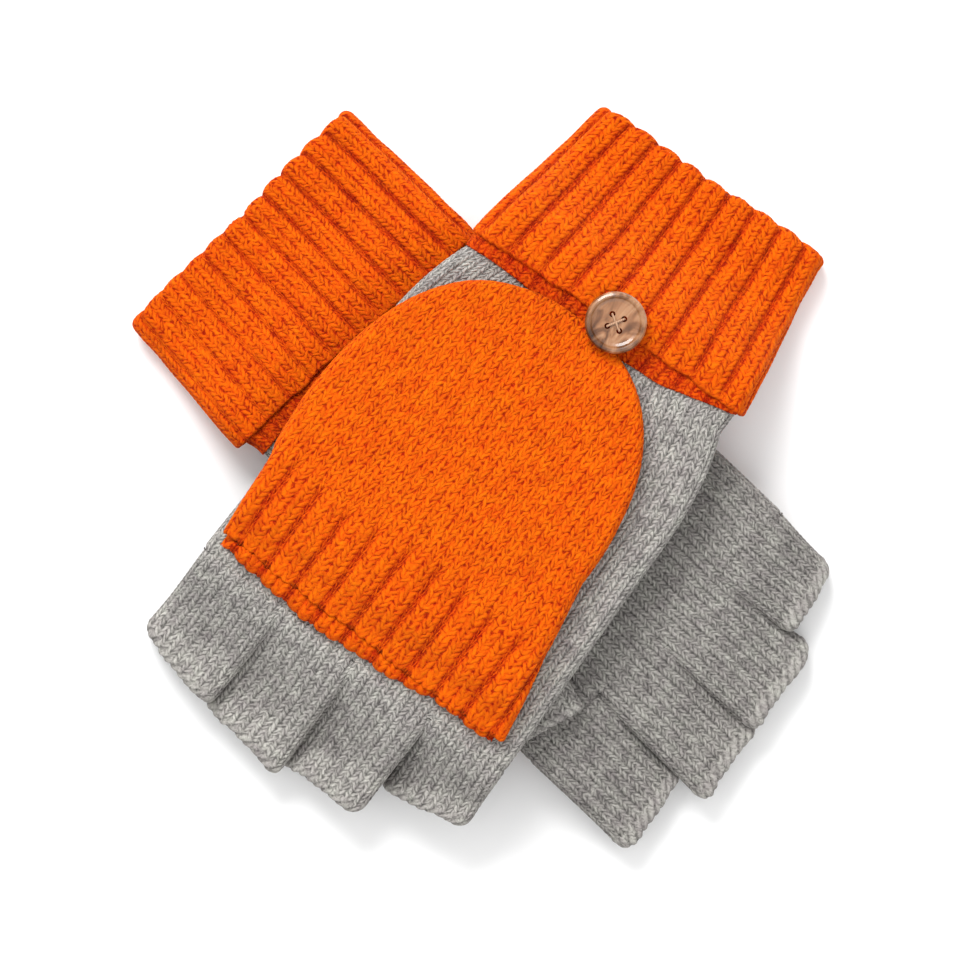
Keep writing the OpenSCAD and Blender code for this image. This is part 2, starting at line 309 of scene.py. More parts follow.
def wool(name, stops, streak, patchy, groove, tint, fuzz, sheen):
    """Knitting yarn, leg by leg of every stitch, from the stitch coordinates of a piece.

    streak and patchy are how much the brightness wanders along a fibre and over the cloth,
    groove is how dark, as painted shade, the least of the gaps between the legs is, tint is
    how far the hue wanders, and fuzz and sheen are the weight and colour of the sheen.

    The relief value is painted shade, 0 in the grooves, folds and inner skins of a piece, and
    plain is 1 where the piece's own shape, not the V of a stitch, gives the depth, as on a cast-off
    edge."""
    mat, nodes, links, bsdf = tree(name)
    calc = calculator(nodes, links)
    uv = nodes.new("ShaderNodeUVMap")
    uv.uv_map = "stitch"
    split = nodes.new("ShaderNodeSeparateXYZ")
    links.new(uv.outputs["UV"], split.inputs[0])
    uneven = nodes.new("ShaderNodeTexNoise")
    uneven.inputs["Scale"].default_value = 1.1
    uneven.inputs["Detail"].default_value = 1.0
    links.new(uv.outputs["UV"], uneven.inputs["Vector"])
    pull = nodes.new("ShaderNodeSeparateColor")
    links.new(uneven.outputs["Color"], pull.inputs[0])
    u = calc("MULTIPLY_ADD", calc("SUBTRACT", pull.outputs[0], 0.5), 0.38, split.outputs["X"])
    v = calc("MULTIPLY_ADD", calc("SUBTRACT", pull.outputs[1], 0.5), 1.35, split.outputs["Y"])
    part = calc("FRACT", u)
    a = calc("MULTIPLY", calc("ABSOLUTE", calc("SUBTRACT", part, 0.5)), 2.0)
    side = calc("GREATER_THAN", part, 0.5)
    climb = calc("SUBTRACT", v, calc("MULTIPLY", a, LEAN))
    q = calc("FRACT", climb)
    cell = nodes.new("ShaderNodeCombineXYZ")
    links.new(calc("MULTIPLY_ADD", calc("FLOOR", u), 2.0, side), cell.inputs[0])
    links.new(calc("FLOOR", climb), cell.inputs[1])
    dice = nodes.new("ShaderNodeTexWhiteNoise")
    dice.noise_dimensions = "2D"
    links.new(cell.outputs[0], dice.inputs["Vector"])
    luck = dice.outputs["Value"]
    across = calc("MULTIPLY", calc("SUBTRACT", q, 0.5), 2.0)
    along = calc("DIVIDE", calc("ABSOLUTE", calc("SUBTRACT", a, 0.49)), 0.55)
    away = calc("ADD", calc("MULTIPLY", across, across), calc("POWER", along, 3.0))
    grain = calc("POWER", calc("SUBTRACT", 1.0, away, limit=True), 0.55)
    leg = calc("MULTIPLY_ADD", grain, 0.9, calc("MULTIPLY", calc("SUBTRACT", luck, 0.5), 0.25))
    border = calc("MULTIPLY_ADD", calc("POWER", a, 7.0), -0.08, 1.0)
    leg = calc("MULTIPLY", leg, border, limit=True)
    plain = value_of(nodes, "plain")
    relief_shade = value_of(nodes, "relief_shade")
    knit = calc("MULTIPLY", leg, calc("SUBTRACT", 1.0, plain))
    height = calc("MULTIPLY_ADD", plain, 0.85, knit)

    fibre_at = nodes.new("ShaderNodeCombineXYZ")
    links.new(calc("MULTIPLY", a, 1.3), fibre_at.inputs[0])
    links.new(calc("MULTIPLY", climb, 4.2), fibre_at.inputs[1])
    links.new(calc("MULTIPLY", calc("ADD", luck, side), 9.0), fibre_at.inputs[2])
    fibre = noise_of(nodes, links, fibre_at.outputs[0], 2.3, 3.0, 0.65)
    coord = nodes.new("ShaderNodeTexCoord")
    fluff = noise_of(nodes, links, coord.outputs["Object"], 1500.0, 3.0, 0.6)
    cloud = noise_of(nodes, links, coord.outputs["Object"], 260.0, 3.0, 0.65)

    #     painted shade darkens the gaps between the legs; loose fibres bridge them here and there
    fleck = noise_of(nodes, links, coord.outputs["Object"], 620.0, 2.0)
    open_gap = calc("MULTIPLY", calc("SUBTRACT", fleck, 0.43), 4.0, limit=True)
    gap = calc("MULTIPLY", calc("SUBTRACT", 1.0, height), calc("ADD", open_gap, groove))
    seen = calc("SUBTRACT", 1.0, gap, limit=True)
    depth = calc("MULTIPLY", calc("MULTIPLY_ADD", seen, 0.6, 0.4), relief_shade)
    depth = calc("MULTIPLY_ADD", calc("SUBTRACT", fluff, 0.5), 0.9, depth)
    depth = calc("MULTIPLY_ADD", calc("SUBTRACT", fibre, 0.5), 0.5, depth, limit=True)
    colour = ramp(nodes, stops)
    links.new(depth, colour.inputs["Fac"])
    bright = calc("MULTIPLY_ADD", calc("SUBTRACT", fibre, 0.5), streak, 1.0)
    bright = calc("ADD", bright, calc("MULTIPLY", calc("SUBTRACT", cloud, 0.5), patchy))
    bright = calc("ADD", bright, calc("MULTIPLY", calc("SUBTRACT", luck, 0.5), 0.18))
    tone = nodes.new("ShaderNodeHueSaturation")
    links.new(calc("MULTIPLY_ADD", calc("SUBTRACT", cloud, 0.5), tint, 0.5), tone.inputs["Hue"])
    links.new(bright, tone.inputs["Value"])
    links.new(colour.outputs["Color"], tone.inputs["Color"])
    links.new(tone.outputs["Color"], bsdf.inputs["Base Color"])
    bsdf.inputs["Roughness"].default_value = 0.9
    bsdf.inputs["Specular IOR Level"].default_value = 0.1
    bsdf.inputs["Sheen Weight"].default_value = fuzz
    bsdf.inputs["Sheen Roughness"].default_value = 0.5
    bsdf.inputs["Sheen Tint"].default_value = (*sheen, 1)
    bump = nodes.new("ShaderNodeBump")
    bump.inputs["Strength"].default_value = 0.65
    bump.inputs["Distance"].default_value = 0.0007
    rough = calc("MULTIPLY_ADD", fibre, 0.28, seen)
    links.new(calc("MULTIPLY_ADD", fluff, 0.24, rough), bump.inputs["Height"])
    links.new(bump.outputs["Normal"], bsdf.inputs["Normal"])
    return mat


ORANGE = wool("orange_wool", [(0.06, (0.155, 0.003, 0.0)), (0.34, (0.385, 0.020, 0.0)),
                              (0.60, (0.595, 0.072, 0.0)), (1.0, (0.68, 0.118, 0.0))],
              streak=0.35, patchy=0.18, groove=0.42, tint=0.02, fuzz=0.05, sheen=(1.0, 0.4, 0.05))


def grey(name, shade):
    """Grey heather yarn; shade darkens its colours, as painted shade."""
    stops = [(0.06, (0.052, 0.049, 0.046)), (0.36, (0.160, 0.152, 0.142)),
             (0.66, (0.288, 0.273, 0.254)), (1.0, (0.43, 0.409, 0.382))]
    return wool(name, [(at, tuple(shade * c for c in colour)) for at, colour in stops],
                streak=1.0, patchy=0.95, groove=0.62, tint=0.22, fuzz=0.06, sheen=(0.8, 0.8, 0.8))


# painted shade: the lower glove is the same grey, darkened for the less light that it gets
GREY = {"right": grey("grey_heather", 1.0), "left": grey("grey_heather_shaded", 0.8)}


def horn():
    """Polished horn-look resin: tan and brown clouds with darker veins."""
    mat, nodes, links, bsdf = tree("marbled_horn")
    coord = nodes.new("ShaderNodeTexCoord")
    stretch = nodes.new("ShaderNodeMapping")
    stretch.inputs["Scale"].default_value = (150.0, 60.0, 60.0)
    stretch.inputs["Rotation"].default_value = (0.3, 0.2, 0.9)
    links.new(coord.outputs["Object"], stretch.inputs["Vector"])
    noise = nodes.new("ShaderNodeTexNoise")
    noise.inputs["Scale"].default_value = 1.6
    noise.inputs["Detail"].default_value = 5.0
    noise.inputs["Distortion"].default_value = 1.3
    links.new(stretch.outputs["Vector"], noise.inputs["Vector"])
    cols = ramp(nodes, [(0.28, (0.056, 0.019, 0.007)), (0.42, (0.17, 0.068, 0.026)),
                        (0.52, (0.31, 0.14, 0.062)), (0.70, (0.44, 0.24, 0.125))])
    links.new(noise.outputs["Fac"], cols.inputs["Fac"])
    #     painted shade: the horn is darker along one side of the rim, the side away from the light
    axes = nodes.new("ShaderNodeSeparateXYZ")
    links.new(coord.outputs["Generated"], axes.inputs[0])
    calc = calculator(nodes, links)
    across = calc("MULTIPLY_ADD", axes.outputs["X"], 0.29,
                  calc("MULTIPLY", axes.outputs["Y"], 0.71))
    band = ramp(nodes, [(0.15, (0.22, 0.17, 0.14)), (0.20, (0.45, 0.38, 0.33)),
                        (0.30, (1.0, 1.0, 1.0))])
    wander = calc("SUBTRACT", noise.outputs["Fac"], 0.5)
    links.new(calc("MULTIPLY_ADD", wander, 0.12, across), band.inputs["Fac"])
    shaded = nodes.new("ShaderNodeMix")
    shaded.data_type = "RGBA"
    shaded.blend_type = "MULTIPLY"
    shaded.inputs["Factor"].default_value = 1.0
    links.new(cols.outputs["Color"], shaded.inputs["A"])
    links.new(band.outputs["Color"], shaded.inputs["B"])
    links.new(shaded.outputs["Result"], bsdf.inputs["Base Color"])
    bsdf.inputs["Roughness"].default_value = 0.25
    bsdf.inputs["Coat Weight"].default_value = 0.35
    bsdf.inputs["Coat Roughness"].default_value = 0.08
    bsdf.inputs["Subsurface Weight"].default_value = 0.12
    bsdf.inputs["Subsurface Radius"].default_value = (0.002, 0.001, 0.0005)
    scratch = nodes.new("ShaderNodeBump")
    scratch.inputs["Strength"].default_value = 0.05
    scratch.inputs["Distance"].default_value = 0.0002
    links.new(noise.outputs["Fac"], scratch.inputs["Height"])
    links.new(scratch.outputs["Normal"], bsdf.inputs["Normal"])
    return mat


def twine():
    """Pale sewing thread with a fine twist."""
    mat, nodes, links, bsdf = tree("sewing_thread")
    coord = nodes.new("ShaderNodeTexCoord")
    wave = nodes.new("ShaderNodeTexWave")
    wave.inputs["Scale"].default_value = 900.0
    wave.inputs["Distortion"].default_value = 1.0
    wave.bands_direction = "DIAGONAL"
    links.new(coord.outputs["Object"], wave.inputs["Vector"])
    cols = ramp(nodes, [(0.0, (0.30, 0.15, 0.08)), (1.0, (0.52, 0.32, 0.2))])
    links.new(wave.outputs["Fac"], cols.inputs["Fac"])
    links.new(cols.outputs["Color"], bsdf.inputs["Base Color"])
    bsdf.inputs["Roughness"].default_value = 0.7
    bump = nodes.new("ShaderNodeBump")
    bump.inputs["Strength"].default_value = 0.4
    bump.inputs["Distance"].default_value = 0.0001
    links.new(wave.outputs["Fac"], bump.inputs["Height"])
    links.new(bump.outputs["Normal"], bsdf.inputs["Normal"])
    return mat


HORN, TWINE = horn(), twine()


def finish_piece(obj, mat, body, nodes):
    """Gives a piece its material and body, and hides the CAD nodes that it stands for."""
    obj.data.materials.append(mat)
    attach(obj, body)
    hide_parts(*nodes)


# mesh spacing across the columns of stitches and along them
FINE = 0.42
ROW_STEP = 0.38
FACE_HALF = 44  # half the width of a face, near enough for every tube


def face_x(arc_n):
    """Rough x of a column of stitches, the same on both faces of a flattened tube."""
    return np.sign(arc_n) * FACE_HALF * (1 - np.abs(2 * np.abs(arc_n) - 1))


def spaced(a, b, step):
    n = max(int(abs(b - a) / step), 1)
    return np.linspace(a, b, n + 1)


# ---------------------------------------------------------------- hands
def border_y(g, x):
    """Where the grey hand meets the orange cuff; on the right it slopes off at the thumb side."""
    if g == "left":
        return 51.4 + 0.6 * drift(x, 0 * x, 7.0, 3)
    return 48.2 + 7.5 * clip((x - 12) / 33) ** 1.5 + 0.5 * drift(x, 0 * x, 7.0, 3)


HAND_LEN, HAND_WALL = 115, 1.7


def hand(g):
    """Grey tube from the border of the cuff to the knuckles, outer skin then inner skin."""
    a0, b0 = HALF[g], HAND_T / 2 - 0.2
    cols = columns(a0, b0, FINE, 0.9)
    f_out = spaced(0, 1, ROW_STEP / HAND_LEN)
    f_in = spaced(1, 0, 4.0 / HAND_LEN)
    f = np.concatenate([f_out, f_in])[:, None]
    outer = np.concatenate([np.ones(len(f_out)), np.zeros(len(f_in))])[:, None]
    inset = np.where(outer > 0, 0.0, HAND_WALL)
    arc_n = cols[None, :]
    # every column of stitches starts at its own place on the border of the cuff
    x_guess = face_x(arc_n)
    y = mix(border_y(g, x_guess), Y_KNUCKLE - 0.6, f)
    a = hand_half(g, y) - 0.15 - inset
    b = np.full_like(a, b0) - inset
    arc = arc_n * perimeter(a, b) / 2
    x, z = section(0.0, Z_HAND[g], a, b, arc)
    u, v = grey_count(arc_n * perimeter(a0, b0) / 2, x, y)
    h = stitches(u, v)
    p = np.stack([x, y, z], -1)
    out = outward(x, 0.0, a, b, 0.0, z - Z_HAND[g])
    out[..., 0] += x * 0.02
    n = normals(p, out)
    sag = 0.3 * drift(x, y, 24.0, 5) * (np.abs(x) < a - b)
    tuck = 0.9 * ease((Y_KNUCKLE + 2.2 - y) / 2.6) + 0.7 * ease(1 - HAND_LEN * f / 1.4)
    depth = (1 - h) * 0.8 + sag + tuck
    p = p - n * (depth * outer)[..., None]
    # relief value: painted shade in the hollows of the stitches, and dark on the inner skin
    obj = sheet_mesh(f"{g}_hand_knit", placed(g, p), np.stack([u, v], -1),
                     {"relief_shade": np.where(outer > 0, 0.35 + 0.65 * h, 0.2), "plain": 0.0})
    finish_piece(obj, GREY[g], f"{g}_glove", [f"{g}_hand"])


def grey_count(arc, x, y):
    """Stitch coordinates shared by the hand and the fingers that grow from it."""
    u = arc / WALE_GREY + 0.22 * drift(x, y, 17.0, 1)
    v = -y / ROW_GREY + 0.35 * drift(x, y, 21.0, 2) + 0.12 * drift(x, y, 5.0, 4)
    return u, v


# ---------------------------------------------------------------- finger stubs
# edges at the root and at the tip as parts of the half width, y of the tip at its two
# edges, and how far each edge droops; stubs lap over their neighbours like shingles
STUBS = {
    "right": {
        "index": (0.47, 1.0, 0.50, 1.02, -90.0, -84.6, 0.78, 0.55),
        "middle": (-0.04, 0.53, -0.02, 0.525, -100.8, -99.6, 0.97, 0.64),
        "ring": (-0.52, 0.04, -0.54, 0.05, -100.6, -105.0, 1.0, 0.80),
        "little": (-0.99, -0.43, -1.015, -0.462, -94.8, -100.8, 1.0, 0.82),
    },
    "left": {
        "index": (0.455, 0.99, 0.53, 0.985, -91.6, -86.6, 0.7, 1.0),
        "middle": (-0.045, 0.53, 0.0, 0.59, -103.4, -98.6, 0.7, 1.0),
        "ring": (-0.48, 0.04, -0.475, 0.06, -107.6, -103.4, 0.7, 1.0),
        "little": (-1.0, -0.43, -0.985, -0.43, -102.2, -97.9, 0.85, 1.0),
    },
}
STUB_DROP_F = 0.8  # part of its length in which a stub comes down to the surface
STUB_SKIN = 2.5  # how far the inner skin lies inside the outer one, rolled edge and all
# width of the cast-off band, and how much lighter than the rest it is
CAST_OFF = {"right": (1.9, -0.12), "left": (3.3, 0.16)}


def stub_rows(length, band=1.9):
    """(part of the length, inset, rope weight) down the outside, round the rim, up the inside."""
    rows = []
    for f in spaced(-3.2 / length, 1, ROW_STEP / length):
        tucked_root = 0.9 * ease(-(f * length + 0.2) / 2.2)
        rows.append((f, 0.1 + tucked_root, ease((f * length - length + band) / 0.8)))
    for k in range(1, 7):
        t = math.pi * k / 6
        rope = 1.0 if k < 4 else 0.4
        rows.append((1 + math.sin(t) / length, 0.1 + 1.2 * (1 - math.cos(t)), rope))
    rows += [(f, STUB_SKIN, 0.0) for f in spaced(1 - 0.8 / length, 0.0, 1.6 / length)]
    return np.array(rows)


def rim_lean(f, inset):
    """Part of the outward direction along y: forwards where the rim rolls over."""
    return np.where(inset > 0.2, -(STUB_SKIN - inset) * 2, 0) * (f > 0.9)


def cast_off(u, f, length, inset):
    """Slanted loops of a cast-off edge, one to a column of stitches."""
    slant = u + 0.55 * (f - 1) * length / 2.0 + inset * 0.25
    q = slant - np.floor(slant)
    return (4 * q * (1 - q)) ** 0.5


def tube_end(p, out, u, v, f, length, inset, rope, glow=-0.12):
    """Relief of a short knitted tube with a cast-off edge; returns its points and values.
    rope is 1 on the cast-off band, which is lighter than the rest by glow."""
    loops = cast_off(u, f, length, inset)
    h = mix(stitches(u, v), loops, rope)
    outer = inset < STUB_SKIN - 0.1
    n = normals(p, out)
    depth = np.where(outer, (1 - h) * mix(0.8, 0.6, rope) - 0.1 * rope, 0)
    p = p - n * depth[..., None]
    p[..., 1] += 0.6 * (1 - loops) * rope
    # relief value: painted shade in the hollows of the stitches and on the inner skin
    return p, {"relief_shade": np.where(outer, (0.35 + 0.65 * h) * (1 + glow * rope), 0.12),
               "plain": rope * 0.5 + 0 * h}


def stub(g, finger):
    """Half-finger tube that droops from the knuckles to the surface and laps its neighbour."""
    r0, r1, t0, t1, y0, y1, fall0, fall1 = STUBS[g][finger]
    w = HALF[g]
    length = abs((y0 + y1) / 2 - Y_KNUCKLE)
    rows = stub_rows(length, CAST_OFF[g][0])
    f, inset, rope = rows[:, 0:1], rows[:, 1:2], rows[:, 2:3]
    fc = clip(f)
    left, right = w * mix(r0, t0, fc), w * mix(r1, t1, fc)
    xc, a = (left + right) / 2, (right - left) / 2
    b = mix(HAND_T - 0.2, MOUTH_T, fc) / 2
    drop = (Z_HAND[g] - MOUTH_T / 2 - LIFT[g]) * ease(f / STUB_DROP_F)
    # corners draw in a little where the tube is cast off
    a = a - 0.2 * np.sin(math.pi * fc) * (fc < 1) - 0.5 * ease((f * length - length + 2.4) / 3.0)
    a_in, b_in = a - inset, b - inset
    cols = columns(w * (r1 - r0) / 2, HAND_T / 2, FINE, 0.75)
    arc_n = cols[None, :]
    arc = arc_n * perimeter(a_in, b_in) / 2
    x, z = section(xc, 0.0, a_in, b_in, arc)
    t = (x - xc) / a
    zc = Z_HAND[g] - drop * mix(fall0, fall1, (t + 1) / 2)
    tip = mix(y0, y1, (t + 1) / 2) + 1.5 * clip((np.abs(t) - 0.72) / 0.28) ** 2
    tip = tip + 0.5 * drift(x, 0 * x, 4.0, 51)
    y = Y_KNUCKLE + f * (tip - Y_KNUCKLE)
    lap = np.abs(t) ** 1.6 * np.where(t * BACK[g] > 0, 2.5, -0.7 - 1.3 * (g == "right"))
    belly = 0.6 * (1 - t * t) * ease(f / 0.4)
    zc = zc + lap * ease((f - 0.02) / 0.35) * (1 - 0.2 * ease((f - 0.7) / 0.3)) + belly
    z = z + zc
    root_half = w * (r1 - r0) / 2
    arc_root = w * (r0 + r1) / 2 + arc_n * perimeter(root_half, HAND_T / 2) / 2
    u, v = grey_count(arc_root, w * (r0 + r1) / 2 + arc_n * 2 * root_half, y)
    p = np.stack([x, y, z], -1)
    out = outward(x, xc, a_in, b_in, rim_lean(f, inset), z - zc)
    p, values = tube_end(p, out, u, v, f, length, inset, rope, CAST_OFF[g][1])
    p[..., 2] = np.maximum(p[..., 2], FLOOR_GAP)
    obj = sheet_mesh(f"{g}_{finger}_knit", placed(g, p), np.stack([u, v], -1), values)
    finish_piece(obj, GREY[g], f"{g}_glove", [f"{g}_{finger}"])


# ---------------------------------------------------------------- thumbs
# root as parts of the hand's half width, direction in degrees, and length
THUMBS = {"right": ((0.36, -0.63), -24, 38.4), "left": ((0.4, -0.1), -59, 37.6)}
THUMB_HALF = 13.0


def thumb(g):
    """Thumb tube, laid flat between the two gloves."""
    root, degrees, length = THUMBS[g]
    root, turn = HALF[g] * np.array(root), math.radians(degrees)
    rows = stub_rows(length)
    f, inset, rope = rows[:, 0:1], rows[:, 1:2], rows[:, 2:3]
    a = THUMB_HALF - 3.5 * (1 - ease(f / 0.12)) - inset + 0 * f
    b = THUMB_T / 2 - 0.8 * (1 - ease(f / 0.12)) - np.minimum(inset, 2.1) + 0 * f
    cols = columns(THUMB_HALF, THUMB_T / 2, FINE, 0.6)
    arc_n = cols[None, :]
    arc = arc_n * perimeter(a, b) / 2
    x, z = section(0.0, Z_THUMB, a, b, arc)
    y = -f * length + 0 * x
    u = arc_n * perimeter(THUMB_HALF, THUMB_T / 2) / 2 / WALE_GREY + 0 * x
    v = -y / ROW_GREY
    p = np.stack([x, y, z], -1)
    out = outward(x, 0.0, a, b, rim_lean(f, inset), z - Z_THUMB)
    p, values = tube_end(p, out, u, v, f, length, inset, rope)
    # the tube's -y runs along the thumb
    c, s = math.cos(turn), math.sin(turn)
    along, across = -p[..., 1], p[..., 0]
    laid = np.stack([root[0] + along * c + across * s,
                     root[1] + along * s - across * c, p[..., 2]], -1)
    obj = sheet_mesh(f"{g}_thumb_knit", placed(g, laid), np.stack([u, v], -1), values)
    finish_piece(obj, GREY[g], f"{g}_glove", [f"{g}_thumb"])


# ---------------------------------------------------------------- cuffs
# where a rib's groove lies and the pitch of the ribs, as parts of the cuff's half width
RIBS = {"right": (-0.074, 0.2112), "left": (0.0314, 0.1806)}
RIB_DEPTH = 2.0
CUFF_SHADE = {"right": 0.96, "left": 0.9}  # painted shade: both cuffs are darkened a little, the lower glove's more
TOP_SHARE = 2.02  # turns an arc fraction into -1 to 1 across the flat upper side of a cuff


def free_edge(g, x):
    """Ragged y of the edge of the turned-up layer."""
    ragged = 0.55 * drift(x, 0 * x, 6.0, 7) + 0.5 * drift(x, 0 * x, 17.0, 8)
    if g == "left":
        return 53.8 - 0.054 * x + ragged
    return 52.8 + 0.045 * x + ragged


def cuff_relief(g, arc_n, y, x, knit_to, ribbed):
    """Stitch coordinates, depth and shade of 2-by-1 rib, knitted towards +y or -y."""
    start, pitch = RIBS[g]
    rho = (arc_n * TOP_SHARE - start) / pitch + 0.05 * drift(x, y, 15.0, 11)
    u = rib_columns(rho, 0.06)
    v = knit_to * y / ROW_CUFF + 0.3 * drift(x, y, 17.0, 12) + 0.15 * drift(x, y, 5.0, 14)
    h = stitches(u, v)
    dome = rib_dome(rho)
    if g == "left":  # its ribs are stretched flatter towards the little finger
        dome = 1 - (1 - dome) * mix(0.5, 1.0, ease((arc_n * TOP_SHARE + 0.9) / 1.7))
    depth = ((1 - dome) * RIB_DEPTH - 0.6) * ribbed + (1 - h) * 0.5 + 0.2 * drift(x, y, 7.0, 13)
    # relief value: painted shade in the grooves of the ribs and the hollows of the stitches
    relief_shade = (0.4 + 0.6 * h) * mix(1.0, clip(0.34 + 0.88 * dome), ribbed)
    return u, v, depth, clip(relief_shade)


def cuff_turnup(g):
    """Outer layer of the cuff: ragged free edge, ribbed outside, and the roll of the fold."""
    wall = 1.9
    fold = FOLD[g]
    span = fold - 1.9 - Y_EDGE
    rows = [(4.0 / span, wall), (1.6 / span, wall)]
    for k in range(0, 6):
        t = math.pi * (1 - k / 6)
        rows.append((0.9 / span * (1 - math.sin(t)), wall / 2 * (1 - math.cos(t))))
    rows += [(f, 0.0) for f in spaced(0.9 / span, 1.0, ROW_STEP / span)]
    roll = 1.85
    for k in range(1, 13):
        t = math.pi * k / 12
        rows.append((1 + roll * math.sin(t) / span, roll * (1 - math.cos(t))))
    rows += [(1 - d / span, 2 * roll) for d in (1.2, 2.6, 5.0)]
    rows += [(f, wall) for f in spaced(1 - 7.0 / span, 8.0 / span, 6.0 / span)]
    rows = np.array(rows)
    f, inset = rows[:, 0:1], rows[:, 1:2]
    cols = columns(HALF[g] * 0.8, CUFF_T / 2, FINE * 0.95, 0.8)
    arc_n = cols[None, :]
    x_guess = face_x(arc_n)
    y0 = free_edge(g, x_guess)
    slope = 0.035 if g == "right" else 0.0
    top = fold - 1.9 + slope * x_guess + 0.5 * drift(x_guess, 0 * x_guess, 15.0, 15)
    y = y0 + f * (top - y0)
    a = cuff_half(g, y) - inset
    b = CUFF_T / 2 - inset + 0 * y
    xc = cuff_mid(g, y)
    zc = cuff_z(g, y)
    arc = arc_n * perimeter(a, b) / 2
    x, z = section(xc, zc, a, b, arc)
    from_edge = y - y0
    ribbed = mix(0.35, 1.0, ease(from_edge / 7.0))
    u, v, depth, relief_shade = cuff_relief(g, arc_n, y, x, 1, ribbed)
    p = np.stack([x, y, z], -1)
    round_fold = np.where(f > 1, (f - 1) * span * 2, np.where(f < 0.9 / span, -0.9, 0))
    out = outward(x, xc, a, b, round_fold, z - zc)
    n = normals(p, out)
    hidden = (inset >= wall - 1e-6) & (f < 0.99)
    keep = np.where(inset <= 0.0, 1.0, np.where(hidden, 0.0, np.where(f > 0.9, 0.9, 0.6)))
    p = p - n * (depth * keep)[..., None]
    p[..., 2] = np.maximum(p[..., 2], FLOOR_GAP)
    edge = 1 - ease((from_edge - 0.6) / 1.6)
    # painted shade: the cuff's colour is darker near the free edge, and dark on the hidden inner
    # layer
    relief_shade = np.where(hidden, 0.1, CUFF_SHADE[g] * relief_shade * mix(1.0, 0.85, edge))
    obj = sheet_mesh(f"{g}_cuff_turnup_knit", placed(g, p), np.stack([u, v], -1),
                     {"relief_shade": relief_shade, "plain": 0.35 * edge})
    finish_piece(obj, ORANGE, f"{g}_glove", [f"{g}_cuff_turnup"])


def cuff_inner(g):
    """Inner layer of the cuff: seen as a strip past the free edge, and inside the mouth."""
    step = ROW_STEP * 1.2
    ys = [(y, 0.0) for y in spaced(0.0, 10.0, step)] + [(y, 0.0) for y in spaced(13.0, 49.0, 5.0)]
    ys += [(y, 1.6) for y in spaced(49.5, 30.0, 0.9)] + [(y, 1.6) for y in spaced(26.0, 0.0, 4.0)]
    rows = np.array(ys)
    d, inset = rows[:, 0:1], rows[:, 1:2]
    cols = columns(HALF[g] * 0.8, CUFF_IN_T / 2, FINE * 1.1, 0.9)
    arc_n = cols[None, :]
    x_guess = face_x(arc_n)
    y0 = border_y(g, x_guess) - 1.3
    y = y0 + d * (FOLD[g] - 2.2 - y0) / 49.5
    a = np.minimum(hand_half(g, y) - 0.2, cuff_half(g, y) - 2.2) - inset
    b = CUFF_IN_T / 2 + 0.05 - inset + 0 * y
    xc = cuff_mid(g, y) * ease((y - Y_EDGE) / 6)
    zc = cuff_z(g, y)
    arc = arc_n * perimeter(a, b) / 2
    x, z = section(xc, zc, a, b, arc)
    u, v, depth, relief_shade = cuff_relief(g, arc_n, y, x, -1, 0.5)
    p = np.stack([x, y, z], -1)
    out = outward(x, xc, a, b, 0.0, z - zc)
    n = normals(p, out)
    outer = inset < 1
    p = p - n * np.where(outer, depth * 0.6 - 0.45, -depth * 0.3 * (y > 78))[..., None]
    # painted shade: the strip seen past the free edge, under the turned-up layer, is darkened, and
    # so is the inside
    obj = sheet_mesh(f"{g}_cuff_inner_knit", placed(g, p), np.stack([u, v], -1),
                     {"relief_shade": relief_shade * np.where(outer, 0.62, 0.7), "plain": 0.0})
    finish_piece(obj, ORANGE, f"{g}_glove", [f"{g}_cuff_inner"])


# ---------------------------------------------------------------- mitten flap
def round_end(v, start):
    """1 up to start, then down to 0 at v = 1 along a squarish curve."""
    return (1 - clip((v - start) / (1 - start)) ** 2.4) ** (1 / 2.4)


def flap_edges(g, y):
    """x of the flap's two sides."""
    v = clip((y - Y_HINGE) / FLAP_LEN)
    left = -0.13 - round_end(v, 0.4) * mix(0.83, 0.92, clip(v / 0.4))
    right = -0.13 + round_end(v, 0.45) * mix(1.02, 0.855, clip(v / 0.45))
    return HALF[g] * left, HALF[g] * right


RIB_PITCH, RIB_START = 9.88, -6.0


